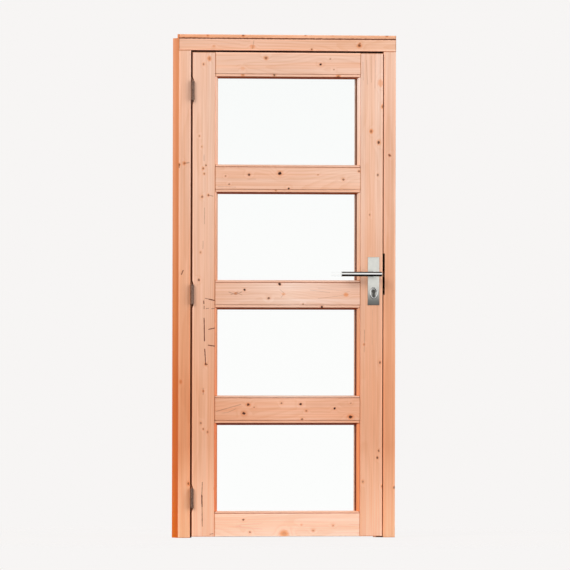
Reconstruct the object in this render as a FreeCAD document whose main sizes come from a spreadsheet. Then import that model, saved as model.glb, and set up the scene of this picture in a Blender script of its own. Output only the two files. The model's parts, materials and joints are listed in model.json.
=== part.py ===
import FreeCAD, Part

import os
import re

import Sketcher

# A glazed pine door leaf hung in its rebated frame.
# Millimetres. X runs from the hinge side to the lock side, -Y is the front that the leaf opens to, and Z is up.
# The origin lies on the outer face of the hinge jamb, at floor level and at mid depth of the frame.

doc = FreeCAD.newDocument("glazed_door")

# Driving sizes, one alias a row.
SIZES = {
    # the leaf and the gaps round it
    "leaf_width": 825,
    "leaf_height": 2012,
    "leaf_thickness": 40,
    "leaf_lift": 5,
    "side_gap": 5.5,
    "top_gap": 8,
    "leaf_proud": 8,
    "stop_clearance": 5,
    "closing_bevel": 2,
    # the frame
    "frame_depth": 90,
    "jamb_width": 70,
    "head_height": 67,
    "cap_height": 16,
    "cap_depth": 22,
    "rebate_width": 17,
    "arris": 2,
    # stiles and rails
    "stile_width": 97,
    "rail_height": 92.5,
    "top_rail_height": 89.5,
    "bottom_rail_height": 95,
    # glazing
    "glass_thickness": 4,
    "glass_clearance": 3,
    "lip_thickness": 12,
    "bead_width": 16,
    "bead_flat": 4,
    "sill_bead_width": 11,
    "sill_bead_flat": 8,
    "crown_bead_width": 19.5,
    "crown_bead_flat": 10,
    "bead_recess": 1.5,
    "bead_edge": 7.5,
    "bead_gap": 0.8,
    # butt hinges
    "hinge_height": 80,
    "hinge_inset": 160,
    "hinge_plate": 2,
    "hinge_plate_depth": 30,
    "knuckle_radius": 7,
    "knuckle_offset": 8.5,
    "knuckle_gap": 0.4,
    "pin_radius": 4,
    "pin_clearance": 0.08,
    "pin_tip_radius": 2.5,
    "pin_tip_height": 2.5,
    "scoop_depth": 5,
    "scoop_width": 20,
    "scoop_run": 22,
    # mortise lock
    "backset": 40,
    "spindle_height": 1097,
    "cylinder_drop": 72,
    "fit_clearance": 0.3,
    "case_thickness": 14,
    "case_depth": 80,
    "case_above": 45,
    "case_below": 120,
    "forend_width": 20,
    "forend_thickness": 3,
    "forend_above": 75,
    "forend_below": 125,
    "latch_height": 18,
    "latch_thickness": 11,
    "bolt_height": 20,
    "bolt_thickness": 9,
    "bolt_length": 27,
    "bolt_play": 3,
    "latch_nose": 9,
    "spindle_bore": 9,
    "cylinder_radius": 8.5,
    "cylinder_web": 10,
    "cylinder_height": 33,
    "cylinder_stand": 2.5,
    "keyway_width": 2,
    "keyway_height": 8,
    "keyway_depth": 6,
    # strike plate in the lock jamb
    "strike_height": 172,
    "strike_width": 24,
    "strike_thickness": 2.5,
    "strike_setback": 3.5,
    "pocket_depth": 16,
    # lever handles and their plates
    "plate_width": 50,
    "plate_height": 200,
    "plate_above": 71,
    "plate_thickness": 3,
    "plate_edge": 1,
    "lever_radius": 10,
    "lever_reach": 48,
    "lever_arm": 155,
    "lever_tail": 20.5,
    "short_arm": 50,
    "lever_edge": 0.8,
    "neck_radius": 9,
    "collar_radius": 12,
    "collar_height": 6,
    "spigot_radius": 7.5,
    "spigot_clearance": 0.25,
    "spindle_side": 8,
    "spindle_hold": 30,
    "socket_clearance": 0.05,
    "running_gap": 0.4,
}

sheet = doc.addObject("Spreadsheet::Sheet", "sizes")
for row, (alias, value) in enumerate(SIZES.items(), start=1):
    sheet.set(f"A{row}", alias)
    sheet.set(f"B{row}", str(value))
    sheet.setAlias(f"B{row}", alias)
doc.recompute()

# Places worked out from the sizes, as expressions.
FACE_X = "(jamb_width - rebate_width)"
LEAF_X0 = f"({FACE_X} + side_gap)"
LEAF_X1 = f"({LEAF_X0} + leaf_width)"
LOCK_FACE_X = f"({LEAF_X1} + side_gap)"
FRAME_X1 = f"({LOCK_FACE_X} + {FACE_X})"
FRONT_Y = "(-frame_depth / 2)"
BACK_Y = "(frame_depth / 2)"
LEAF_Y0 = f"({FRONT_Y} - leaf_proud)"
LEAF_Y1 = f"({LEAF_Y0} + leaf_thickness)"
STOP_Y = f"({LEAF_Y1} + stop_clearance)"
LIP_Y = f"({LEAF_Y1} - lip_thickness)"
GLASS_Y = f"({LIP_Y} - glass_thickness)"
MID_Y = f"({LEAF_Y0} + leaf_thickness / 2)"
LEAF_Z0 = "leaf_lift"
LEAF_Z1 = "(leaf_lift + leaf_height)"
HEAD_Z0 = f"({LEAF_Z1} + top_gap)"
HEAD_Z1 = f"({HEAD_Z0} + head_height - rebate_width)"
OPENING_X0 = f"({LEAF_X0} + stile_width)"
OPENING_X1 = f"({LEAF_X1} - stile_width)"
PIN_X = f"({FACE_X} + side_gap / 2)"
PIN_Y = f"({LEAF_Y0} - knuckle_offset)"
LOCK_X = f"({LEAF_X1} - backset)"
CYLINDER_Z = "(spindle_height - cylinder_drop)"
PANE_HEIGHT = "((leaf_height - top_rail_height - 3 * rail_height - bottom_rail_height) / 4)"
OVERRUN = "1"
TOUCH = 1e-6


def named(text):
    """An expression in which each size is read from the sheet."""
    return re.sub(r"[a-z_]+", lambda word: f"sizes.{word.group()}" if word.group() in SIZES else word.group(), text)


def bind(thing, prop, text):
    thing.setExpression(prop, named(text))


def box(name, x, y, z):
    """A block between a low and a high place along each axis."""
    block = doc.addObject("Part::Box", name)
    for axis, side, (low, high) in zip("xyz", ("Length", "Width", "Height"), (x, y, z)):
        bind(block, side, f"({high}) - ({low})")
        bind(block, f"Placement.Base.{axis}", low)
    return block


TURN_TO = {
    "x": FreeCAD.Rotation(FreeCAD.Vector(0, 1, 0), 90),
    "y": FreeCAD.Rotation(FreeCAD.Vector(1, 0, 0), -90),
    "z": FreeCAD.Rotation(),
}


def rod(name, along, start, length, radius):
    """A round bar from a start place along one axis."""
    bar = doc.addObject("Part::Cylinder", name)
    bar.Placement = FreeCAD.Placement(FreeCAD.Vector(), TURN_TO[along])
    for axis, place in zip("xyz", start):
        bind(bar, f"Placement.Base.{axis}", place)
    bind(bar, "Height", length)
    bind(bar, "Radius", radius)
    return bar


def draw(body, name, plane, outline, level="0"):
    """A closed sketch on one of the body's own planes, each corner tied to the sheet's sizes."""
    sketch = body.newObject("Sketcher::SketchObject", name)
    support = next(f for f in body.Origin.OriginFeatures if f.Role == plane)
    sketch.AttachmentSupport = (support, [""])
    sketch.MapMode = "FlatFace"
    bind(sketch, "AttachmentOffset.Base.z", level)
    corners = [FreeCAD.Vector(value_of(u), value_of(v), 0) for u, v in outline]
    for here, there in zip(corners, corners[1:] + corners[:1]):
        sketch.addGeometry(Part.LineSegment(here, there), False)
    count = len(corners)
    for index in range(count):
        sketch.addConstraint(Sketcher.Constraint("Coincident", index, 2, (index + 1) % count, 1))
    for index, (u, v) in enumerate(outline):
        for kind, place, text in (("DistanceX", corners[index].x, u), ("DistanceY", corners[index].y, v)):
            number = sketch.addConstraint(Sketcher.Constraint(kind, -1, 1, index, 1, place))
            bind(sketch, f"Constraints[{number}]", text)
    return sketch


def value_of(text):
    """The number that an expression gives with the sizes as they are."""
    return float(sheet.evalExpression(named(text)))


def pad(name, plane, outline, length, level="0"):
    """A bar of constant section: one sketch, padded along its normal."""
    body = doc.addObject("PartDesign::Body", name)
    feature = body.newObject("PartDesign::Pad", f"{name}_pad")
    feature.Profile = draw(body, f"{name}_section", plane, outline, level)
    bind(feature, "Length", length)
    return body


def turned(name, along, start, outline):
    """A lathe-turned piece: half its section as (radius, distance) corners, turned about its axis."""
    body = doc.addObject("PartDesign::Body", name)
    feature = body.newObject("PartDesign::Revolution", f"{name}_turn")
    half = draw(body, f"{name}_half", "XZ_Plane", outline)
    feature.Profile = half
    feature.ReferenceAxis = (half, ["V_Axis"])
    feature.Angle = 360
    body.Placement = FreeCAD.Placement(FreeCAD.Vector(), TURN_TO[along])
    for axis, place in zip("xyz", start):
        bind(body, f"Placement.Base.{axis}", place)
    return body


def ease(body, size, chosen):
    """Chamfer those edges of a body for which chosen(edge) is true."""
    doc.recompute()
    feature = body.Tip
    edges = [f"Edge{number}" for number, edge in enumerate(feature.Shape.Edges, start=1) if chosen(edge)]
    chamfer = body.newObject("PartDesign::Chamfer", f"{body.Name}_eased")
    chamfer.Base = (feature, edges)
    bind(chamfer, "Size", size)
    return body


def fuse(name, *pieces):
    joined = doc.addObject("Part::MultiFuse", name)
    joined.Shapes = list(pieces)
    return joined


def cut(name, base, *tools):
    """The base less its tools, which are fused first where there are several."""
    carved = doc.addObject("Part::Cut", name)
    carved.Base = base
    carved.Tool = tools[0] if len(tools) == 1 else fuse(f"{name}_tools", *tools)
    return carved


nodes = []


def node(label, piece):
    """Name a finished piece."""
    piece.Label = label
    nodes.append(piece)
    return piece


HINGES = {
    "bottom": f"({LEAF_Z0} + hinge_inset)",
    "middle": f"({LEAF_Z0} + leaf_height / 2)",
    "top": f"({LEAF_Z1} - hinge_inset)",
}


def around(centre, size, spare="0"):
    """Low and high places of a span centred on a place."""
    return f"({centre} - {size} / 2 - {spare})", f"({centre} + {size} / 2 + {spare})"


# Frame: two jambs under a head that runs over both and carries a cover strip. A stop is planted on each of the
# three to form the rebate.


def jamb_outline(outer, face, towards):
    """Section of a jamb, from its outer face towards the doorway, with its front corners eased."""
    back = "-" if towards == "+" else "+"
    return [
        (outer, f"{FRONT_Y} + arris"),
        (f"{outer} {towards} arris", FRONT_Y),
        (f"{face} {back} arris", FRONT_Y),
        (face, f"{FRONT_Y} + arris"),
        (face, BACK_Y),
        (outer, BACK_Y),
    ]


def stop_outline(face, towards):
    """Section of a stop: it lies on the jamb's face, flush at the back, with its free corners eased."""
    edge = f"{face} {towards} rebate_width"
    back = "-" if towards == "+" else "+"
    return [
        (face, STOP_Y),
        (f"{edge} {back} arris", STOP_Y),
        (edge, f"{STOP_Y} + arris"),
        (edge, f"{BACK_Y} - arris"),
        (f"{edge} {back} arris", BACK_Y),
        (face, BACK_Y),
    ]


hinge_jamb_bar = pad("hinge_jamb_bar", "XY_Plane", jamb_outline("0", FACE_X, "+"), HEAD_Z0)
hinge_housings = [
    box(
        f"jamb_housing_{where}",
        (f"{FACE_X} - hinge_plate", f"{FACE_X} + {OVERRUN}"),
        (f"{FRONT_Y} - {OVERRUN}", f"{LEAF_Y0} + hinge_plate_depth"),
        around(height, "hinge_height"),
    )
    for where, height in HINGES.items()
]
node("hinge_jamb", cut("hinge_jamb_cut", hinge_jamb_bar, *hinge_housings))
node("hinge_stop", pad("hinge_stop_bar", "XY_Plane", stop_outline(FACE_X, "+"), HEAD_Z0))

lock_jamb_bar = pad("lock_jamb_bar", "XY_Plane", jamb_outline(FRAME_X1, LOCK_FACE_X, "-"), HEAD_Z0)
STRIKE_Z = around("spindle_height", "strike_height")
STRIKE_Y = (f"({FRONT_Y} + arris)", f"({MID_Y} + strike_width / 2)")
STRIKE_X = (f"({LOCK_FACE_X} + strike_setback)", f"({LOCK_FACE_X} + strike_setback + strike_thickness)")
LATCH_Z = around("spindle_height", "latch_height", "bolt_play")
LATCH_Y = around(MID_Y, "latch_thickness", "bolt_play")
BOLT_Z = around(CYLINDER_Z, "bolt_height", "bolt_play")
BOLT_Y = around(MID_Y, "bolt_thickness", "bolt_play")
strike_housing = box(
    "strike_housing",
    (f"{LOCK_FACE_X} - {OVERRUN}", STRIKE_X[1]),
    (f"{FRONT_Y} - {OVERRUN}", STRIKE_Y[1]),
    STRIKE_Z,
)
pockets = [
    box(f"{kind}_pocket", (f"{LOCK_FACE_X} - {OVERRUN}", f"{LOCK_FACE_X} + pocket_depth"), y, z)
    for kind, y, z in (("latch", LATCH_Y, LATCH_Z), ("bolt", BOLT_Y, BOLT_Z))
]
node("lock_jamb", cut("lock_jamb_cut", lock_jamb_bar, strike_housing, *pockets))
node("lock_stop", pad("lock_stop_bar", "XY_Plane", stop_outline(LOCK_FACE_X, "-"), HEAD_Z0))

strike_blank = box("strike_blank", STRIKE_X, STRIKE_Y, STRIKE_Z)
strike_holes = [
    box(f"strike_{kind}_hole", (f"{LOCK_FACE_X} - {OVERRUN}", f"{LOCK_FACE_X} + pocket_depth"), y, z)
    for kind, y, z in (("latch", LATCH_Y, LATCH_Z), ("bolt", BOLT_Y, BOLT_Z))
]
node("strike_plate", cut("strike_plate_cut", strike_blank, *strike_holes))


def head_outline(low, high, back):
    """Section of a board across the jambs, flush at the front, with its front corners eased."""
    return [
        (f"{FRONT_Y} + arris", high),
        (FRONT_Y, f"{high} - arris"),
        (FRONT_Y, f"{low} + arris"),
        (f"{FRONT_Y} + arris", low),
        (back, low),
        (back, high),
    ]


head_section = head_outline(HEAD_Z0, HEAD_Z1, BACK_Y)
node("head", pad("head_bar", "YZ_Plane", head_section, FRAME_X1))
cap_section = head_outline(HEAD_Z1, f"({HEAD_Z1} + cap_height)", f"({FRONT_Y} + cap_depth)")
node("head_cap", pad("head_cap_bar", "YZ_Plane", cap_section, FRAME_X1))
head_stop_length = f"{FRAME_X1} - 2 * jamb_width"
head_stop_section = [(y, z) for z, y in stop_outline(HEAD_Z0, "-")]
node("head_stop", pad("head_stop_bar", "YZ_Plane", head_stop_section, head_stop_length, "jamb_width"))

# Leaf: stiles with a continuous lip behind the glass, and five rails between them.


def stile_outline(edge, inner, lip, towards, bevel):
    """Section of a stile from its outer edge to the lip that the glass lies against."""
    back = "-" if towards == "+" else "+"
    return [
        (edge, f"{LEAF_Y0} + arris"),
        (f"{edge} {towards} arris", LEAF_Y0),
        (f"{inner} {back} arris", LEAF_Y0),
        (inner, f"{LEAF_Y0} + arris"),
        (inner, LIP_Y),
        (lip, LIP_Y),
        (lip, LEAF_Y1),
        (f"{edge} {towards} {bevel} {towards} arris", LEAF_Y1),
        (f"{edge} {towards} {bevel}", f"{LEAF_Y1} - arris"),
    ]


def leaf_housing(where, height):
    return box(
        f"leaf_housing_{where}",
        (f"{LEAF_X0} - {OVERRUN}", f"{LEAF_X0} + hinge_plate"),
        (f"{LEAF_Y0} - {OVERRUN}", f"{LEAF_Y0} + hinge_plate_depth"),
        around(height, "hinge_height"),
    )


def scoop(where, height, towards):
    """The cutter's run-out past one end of a hinge: a notch that tapers out along the edge of the leaf."""
    outside = f"{LEAF_X0} - {OVERRUN}"
    deep = f"{height} {towards} hinge_height / 2"
    outline = [
        (outside, deep),
        (f"{LEAF_X0} + scoop_depth", deep),
        (outside, f"{height} {towards} (hinge_height / 2 + scoop_run)"),
    ]
    name = f"scoop_{'over' if towards == '+' else 'under'}_{where}"
    return pad(name, "XZ_Plane", outline, f"scoop_width + {OVERRUN}", f"-({LEAF_Y0} + scoop_width)")


hinge_stile_bar = pad(
    "hinge_stile_bar",
    "XY_Plane",
    stile_outline(LEAF_X0, OPENING_X0, f"({OPENING_X0} + bead_width)", "+", "0"),
    "leaf_height",
    LEAF_Z0,
)
leaf_housings = [leaf_housing(where, height) for where, height in HINGES.items()]
scoops = [scoop(where, height, towards) for where, height in HINGES.items() for towards in "+-"]
node("hinge_stile", cut("hinge_stile_cut", hinge_stile_bar, *leaf_housings, *scoops))

lock_stile_bar = pad(
    "lock_stile_bar",
    "XY_Plane",
    stile_outline(LEAF_X1, OPENING_X1, f"({OPENING_X1} - bead_width)", "-", "closing_bevel"),
    "leaf_height",
    LEAF_Z0,
)


def cylinder_form(name, y_low, y_high, spare):
    """The keyhole-shaped form of a profile cylinder, grown by a clearance."""
    length = f"({y_high}) - ({y_low})"
    barrel = rod(f"{name}_barrel", "y", (LOCK_X, y_low, CYLINDER_Z), length, f"cylinder_radius + {spare}")
    foot_z = f"({CYLINDER_Z} + cylinder_radius - cylinder_height + cylinder_web / 2)"
    foot = rod(f"{name}_foot", "y", (LOCK_X, y_low, foot_z), length, f"cylinder_web / 2 + {spare}")
    web = box(
        f"{name}_web",
        around(LOCK_X, "cylinder_web", spare),
        (y_low, y_high),
        (foot_z, CYLINDER_Z),
    )
    return fuse(name, barrel, web, foot)


FOREND_X1 = f"({LEAF_X1} - closing_bevel)"
FOREND_X0 = f"({FOREND_X1} - forend_thickness)"
CASE_X0 = f"({LEAF_X1} - case_depth)"
CASE_Z = ("spindle_height - case_below", "spindle_height + case_above")
FOREND_Z = ("spindle_height - forend_below", "spindle_height + forend_above")


def grown(span, spare):
    low, high = span
    return f"({low}) - {spare}", f"({high}) + {spare}"


mortise = box(
    "mortise",
    (f"{CASE_X0} - fit_clearance", FOREND_X1),
    around(MID_Y, "case_thickness", "fit_clearance"),
    grown(CASE_Z, "fit_clearance"),
)
forend_housing = box(
    "forend_housing",
    (FOREND_X0, f"{LEAF_X1} + {OVERRUN}"),
    around(MID_Y, "forend_width", "fit_clearance"),
    grown(FOREND_Z, "fit_clearance"),
)
stile_spindle_bore = rod(
    "stile_spindle_bore",
    "y",
    (LOCK_X, f"{LEAF_Y0} - {OVERRUN}", "spindle_height"),
    f"leaf_thickness + 2 * {OVERRUN}",
    "spindle_bore",
)
stile_cylinder_hole = cylinder_form(
    "stile_cylinder_hole", f"{LEAF_Y0} - {OVERRUN}", f"{LEAF_Y1} + {OVERRUN}", "fit_clearance"
)
node(
    "lock_stile",
    cut("lock_stile_cut", lock_stile_bar, mortise, forend_housing, stile_spindle_bore, stile_cylinder_hole),
)

# Each rail as its name, its lower edge and its height, from the bottom up.
RAILS = [("bottom_rail", LEAF_Z0, "bottom_rail_height")]
for step, name in enumerate(("lower_rail", "middle_rail", "upper_rail", "top_rail"), start=1):
    low = f"({LEAF_Z0} + bottom_rail_height + {step} * {PANE_HEIGHT} + {step - 1} * rail_height)"
    RAILS.append((name, low, "top_rail_height" if name == "top_rail" else "rail_height"))


def rail_outline(low, high, lip_below, lip_above):
    """Section of a rail: its face, and a lip at the back beside each pane that it borders."""
    return [
        (f"{LEAF_Y0} + arris", high),
        (LEAF_Y0, f"{high} - arris"),
        (LEAF_Y0, f"{low} + arris"),
        (f"{LEAF_Y0} + arris", low),
        (LIP_Y, low),
        (LIP_Y, f"{low} - {lip_below}"),
        (LEAF_Y1, f"{low} - {lip_below}"),
        (LEAF_Y1, f"{high} + {lip_above}"),
        (LIP_Y, f"{high} + {lip_above}"),
        (LIP_Y, high),
    ]


def plain_back(outline):
    """The same outline with doubled corners taken out, for a rail with a lip on one side only."""
    kept = []
    for corner in outline:
        spot = tuple(round(value_of(text), 6) for text in corner)
        if not kept or spot != kept[-1][0]:
            kept.append((spot, corner))
    return [corner for spot, corner in kept]


for name, low, height in RAILS:
    high = f"({low} + {height})"
    below = "0" if name == "bottom_rail" else "crown_bead_width"
    above = "0" if name == "top_rail" else "sill_bead_width"
    section = plain_back(rail_outline(low, high, below, above))
    rail_bar = pad(
        f"{name}_bar",
        "YZ_Plane",
        section,
        f"{OPENING_X1} - {OPENING_X0}",
        OPENING_X0,
    )
    scribes = [
        box(
            f"{name}_scribe_{side}",
            span,
            (LIP_Y, f"{LEAF_Y1} + {OVERRUN}"),
            (f"{low} - crown_bead_width - {OVERRUN}", f"{high} + sill_bead_width + {OVERRUN}"),
        )
        for side, span in (
            ("hinge", (f"{OPENING_X0} - {OVERRUN}", f"{OPENING_X0} + bead_width")),
            ("lock", (f"{OPENING_X1} - bead_width", f"{OPENING_X1} + {OVERRUN}")),
        )
    ]
    node(name, cut(f"{name}_cut", rail_bar, *scribes))

# Glazing: a sheet of glass against the lips, held by four bevelled beads.
PANES = ["bottom", "lower", "upper", "top"]


def bead_outline(edge, towards, width, flat):
    """Bead section from a fine gap at the rail or stile: an eased corner, a flat, a bevel and the edge at the glass."""
    front = f"({LEAF_Y0} + bead_recess)"
    return [
        (f"{edge} {towards} bead_gap", GLASS_Y),
        (f"{edge} {towards} {width}", GLASS_Y),
        (f"{edge} {towards} {width}", f"{GLASS_Y} - bead_edge"),
        (f"{edge} {towards} {flat}", front),
        (f"{edge} {towards} (bead_gap + arris)", front),
        (f"{edge} {towards} bead_gap", f"{front} + arris"),
    ]


for index, place in enumerate(PANES):
    rail, rail_low, rail_size = RAILS[index]
    low = f"({rail_low} + {rail_size})"
    high = f"({low} + {PANE_HEIGHT})"
    node(
        f"{place}_pane",
        box(
            f"{place}_pane_sheet",
            (f"{OPENING_X0} + glass_clearance", f"{OPENING_X1} - glass_clearance"),
            (GLASS_Y, LIP_Y),
            (f"{low} + glass_clearance", f"{high} - glass_clearance"),
        ),
    )
    level_beads = [
        pad(
            f"{place}_bead_{side}",
            "YZ_Plane",
            [(y, z) for z, y in bead_outline(edge, towards, f"{side}_bead_width", f"{side}_bead_flat")],
            f"{OPENING_X1} - {OPENING_X0} - 2 * bead_gap",
            f"{OPENING_X0} + bead_gap",
        )
        for side, edge, towards in (("sill", low, "+"), ("crown", high, "-"))
    ]
    covered = "(bead_gap + arris)"
    upright_beads = [
        cut(
            f"{place}_bead_{side}_coped",
            pad(
                f"{place}_bead_{side}",
                "XY_Plane",
                bead_outline(edge, towards, "bead_width", "bead_flat"),
                f"{PANE_HEIGHT} - 2 * {covered}",
                f"{low} + {covered}",
            ),
            *level_beads,
        )
        for side, edge, towards in (("hinge", OPENING_X0, "+"), ("lock", OPENING_X1, "-"))
    ]
    for kind, beads in (("level", level_beads), ("upright", upright_beads)):
        pair = doc.addObject("Part::Compound", f"{place}_{kind}_pair")
        pair.Links = beads
        node(f"{place}_{kind}_beads", pair)

# Butt hinges: knuckles on a plate let into each edge, and a loose pin with a tip at each end.
KNUCKLES = 5


def hinge_leaf(name, middle, plate_x, turns):
    """A hinge plate with its share of the knuckles, bored for the pin."""
    foot = f"({middle} - hinge_height / 2)"
    pitch = f"(hinge_height / {KNUCKLES})"
    plate = box(
        f"{name}_plate",
        plate_x,
        (f"{PIN_Y} + knuckle_radius + knuckle_gap", f"{LEAF_Y0} + hinge_plate_depth"),
        around(middle, "hinge_height"),
    )
    pieces = [plate]
    for turn in turns:
        start = f"{foot} + {turn} * {pitch} + {0 if turn == 0 else 1} * knuckle_gap / 2"
        spare = 1 if turn in (0, KNUCKLES - 1) else 2
        tall = f"{pitch} - {spare} * knuckle_gap / 2"
        barrel = rod(f"{name}_knuckle_{turn}", "z", (PIN_X, PIN_Y, start), tall, "knuckle_radius")
        web = box(
            f"{name}_web_{turn}",
            plate_x,
            (PIN_Y, f"{PIN_Y} + knuckle_radius + knuckle_gap"),
            (start, f"{start} + {tall}"),
        )
        pieces += [barrel, web]
    bore = rod(
        f"{name}_bore",
        "z",
        (PIN_X, PIN_Y, f"{foot} - {OVERRUN}"),
        f"hinge_height + 2 * {OVERRUN}",
        "pin_radius + pin_clearance",
    )
    return node(name, cut(f"{name}_bored", fuse(f"{name}_body", *pieces), bore))


HALF_HINGE = "hinge_height / 2"
TIP_END = f"({HALF_HINGE} + pin_tip_height)"
PIN_HALF = [
    ("0", f"-{TIP_END}"),
    ("pin_tip_radius", f"-{TIP_END}"),
    ("pin_radius", f"-{HALF_HINGE}"),
    ("pin_radius", HALF_HINGE),
    ("pin_tip_radius", TIP_END),
    ("0", TIP_END),
]

for where, middle in HINGES.items():
    hinge_leaf(f"{where}_hinge_jamb_leaf", middle, (f"{FACE_X} - hinge_plate", FACE_X), (0, 2, 4))
    hinge_leaf(f"{where}_hinge_door_leaf", middle, (LEAF_X0, f"{LEAF_X0} + hinge_plate"), (1, 3))
    node(f"{where}_hinge_pin", turned(f"{where}_pin", "z", (PIN_X, PIN_Y, middle), PIN_HALF))

# Mortise lock: case and forend, the two bolts drawn back flush, and a profile cylinder.
case_block = box("case_block", (CASE_X0, FOREND_X0), around(MID_Y, "case_thickness"), CASE_Z)
forend = box("forend", (FOREND_X0, FOREND_X1), around(MID_Y, "forend_width"), FOREND_Z)
case_spindle_hole = rod(
    "case_spindle_hole",
    "y",
    (LOCK_X, f"{MID_Y} - case_thickness", "spindle_height"),
    "2 * case_thickness",
    "spindle_side * 0.7071 + running_gap",
)
case_cylinder_hole = cylinder_form(
    "case_cylinder_hole", f"{MID_Y} - case_thickness", f"{MID_Y} + case_thickness", "fit_clearance"
)
BOLTS = {
    "latch_bolt": (around(MID_Y, "latch_thickness"), around("spindle_height", "latch_height")),
    "dead_bolt": (around(MID_Y, "bolt_thickness"), around(CYLINDER_Z, "bolt_height")),
}
bolt_ways = [
    box(
        f"{name}_way",
        (f"{FOREND_X1} - bolt_length", f"{FOREND_X1} + {OVERRUN}"),
        grown(y, "fit_clearance"),
        grown(z, "fit_clearance"),
    )
    for name, (y, z) in BOLTS.items()
]
node(
    "lock_case",
    cut("lock_case_cut", fuse("lock_case_body", case_block, forend), case_spindle_hole, case_cylinder_hole, *bolt_ways),
)
latch_y, latch_z = BOLTS["latch_bolt"]
latch_outline = [
    (f"{FOREND_X1} - bolt_length", latch_y[0]),
    (FOREND_X1, latch_y[0]),
    (FOREND_X1, f"({latch_y[0]}) + arris"),
    (f"{FOREND_X1} - latch_nose", latch_y[1]),
    (f"{FOREND_X1} - bolt_length", latch_y[1]),
]
node("latch_bolt", pad("latch_bar", "XY_Plane", latch_outline, "latch_height", latch_z[0]))
node("dead_bolt", box("dead_bolt_bar", (f"{FOREND_X1} - bolt_length", FOREND_X1), *BOLTS["dead_bolt"]))

CYLINDER_Y0 = f"({LEAF_Y0} - plate_thickness - cylinder_stand)"
CYLINDER_Y1 = f"({LEAF_Y1} + plate_thickness + cylinder_stand)"
keyways = [
    box(f"{side}_keyway", around(LOCK_X, "keyway_width"), span, around(CYLINDER_Z, "keyway_height"))
    for side, span in (
        ("outside", (f"{CYLINDER_Y0} - {OVERRUN}", f"{CYLINDER_Y0} + keyway_depth")),
        ("inside", (f"{CYLINDER_Y1} - keyway_depth", f"{CYLINDER_Y1} + {OVERRUN}")),
    )
]
node(
    "lock_cylinder",
    cut("lock_cylinder_cut", cylinder_form("cylinder_blank", CYLINDER_Y0, CYLINDER_Y1, "0"), *keyways),
)

# Handle plates and levers, one set on each face of the leaf.


def handle_plate(side, low, high):
    x0, x1 = around(LOCK_X, "plate_width")
    z0, z1 = "spindle_height + plate_above - plate_height", "spindle_height + plate_above"
    outline = [(x0, z0), (x1, z0), (x1, z1), (x0, z1)]
    blank = pad(f"plate_{side}_blank", "XZ_Plane", outline, "plate_thickness", f"-({high})")
    shown = value_of(low if side == "outside" else high)
    ease(blank, "plate_edge", lambda edge: all(abs(end.Y - shown) < TOUCH for end in edge.Vertexes))
    hole = rod(
        f"plate_{side}_hole",
        "y",
        (LOCK_X, f"{low} - {OVERRUN}", "spindle_height"),
        f"plate_thickness + 2 * {OVERRUN}",
        "spigot_radius + spigot_clearance",
    )
    slot = cylinder_form(f"plate_{side}_slot", f"{low} - {OVERRUN}", f"{high} + {OVERRUN}", "fit_clearance")
    return node(f"{side}_plate", cut(f"plate_{side}_cut", blank, hole, slot))


handle_plate("outside", f"{LEAF_Y0} - plate_thickness", LEAF_Y0)
handle_plate("inside", LEAF_Y1, f"{LEAF_Y1} + plate_thickness")


def lever(side, face, outward, arm):
    """A straight lever: a round bar on a turned neck, whose spigot runs in the plate."""
    back = "+" if outward == "-" else "-"
    away = "-" if outward == "-" else ""
    bar_length = f"{arm} + lever_tail"
    bar = turned(
        f"lever_{side}_bar",
        "x",
        (f"{LOCK_X} - {arm}", f"({face} {outward} lever_reach)", "spindle_height"),
        [
            ("0", "0"),
            ("lever_radius - lever_edge", "0"),
            ("lever_radius", "lever_edge"),
            ("lever_radius", f"{bar_length} - lever_edge"),
            ("lever_radius - lever_edge", bar_length),
            ("0", bar_length),
        ],
    )
    stand = "(plate_thickness + running_gap)"
    neck = turned(
        f"lever_{side}_neck",
        "y",
        (LOCK_X, face, "spindle_height"),
        [
            ("0", "0"),
            ("spigot_radius", "0"),
            ("spigot_radius", f"{away}{stand}"),
            ("collar_radius", f"{away}{stand}"),
            ("collar_radius", f"{away}({stand} + collar_height)"),
            ("neck_radius", f"{away}({stand} + collar_height)"),
            ("neck_radius", f"{away}lever_reach"),
            ("0", f"{away}lever_reach"),
        ],
    )
    end = f"({face} {outward} spindle_hold {outward} socket_clearance)"
    low, high = (end, f"{face} {back} {OVERRUN}") if outward == "-" else (f"{face} {back} {OVERRUN}", end)
    socket = box(
        f"lever_{side}_socket",
        around(LOCK_X, "spindle_side", "socket_clearance"),
        (low, high),
        around("spindle_height", "spindle_side", "socket_clearance"),
    )
    return node(f"{side}_lever", cut(f"lever_{side}_cut", fuse(f"lever_{side}_body", bar, neck), socket))


lever("outside", LEAF_Y0, "-", "lever_arm")
lever("inside", LEAF_Y1, "+", "short_arm")
node(
    "spindle",
    box(
        "spindle_bar",
        around(LOCK_X, "spindle_side"),
        (f"{LEAF_Y0} - spindle_hold", f"{LEAF_Y1} + spindle_hold"),
        around("spindle_height", "spindle_side"),
    ),
)

# Build, test and write one STEP file a node.
doc.recompute()
for thing in doc.Objects:
    if "Invalid" in thing.State or "Error" in thing.State:
        raise RuntimeError(f"{thing.Label} failed: {thing.State}")
for piece in nodes:
    if piece.Shape.isNull() or not piece.Shape.isValid():
        raise RuntimeError(f"{piece.Label} has no valid shape")

os.makedirs("parts", exist_ok=True)
for piece in nodes:
    piece.Shape.exportStep(f"parts/{piece.Label}.step")
print(f"{len(nodes)} nodes, frame {value_of(FRAME_X1):.1f} wide and {value_of(HEAD_Z1) + SIZES["cap_height"]:.1f} high")
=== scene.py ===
# %% [markdown]
# This lesson dresses a glazed pine door. The shapes come ready made from the CAD model: the leaf, its
# frame, four panes with their beads, three hinges, a lock and two levers. We load them first.

# %% Load the imported model
import json
import math

import bmesh
import bpy
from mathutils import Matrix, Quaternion, Vector


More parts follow.
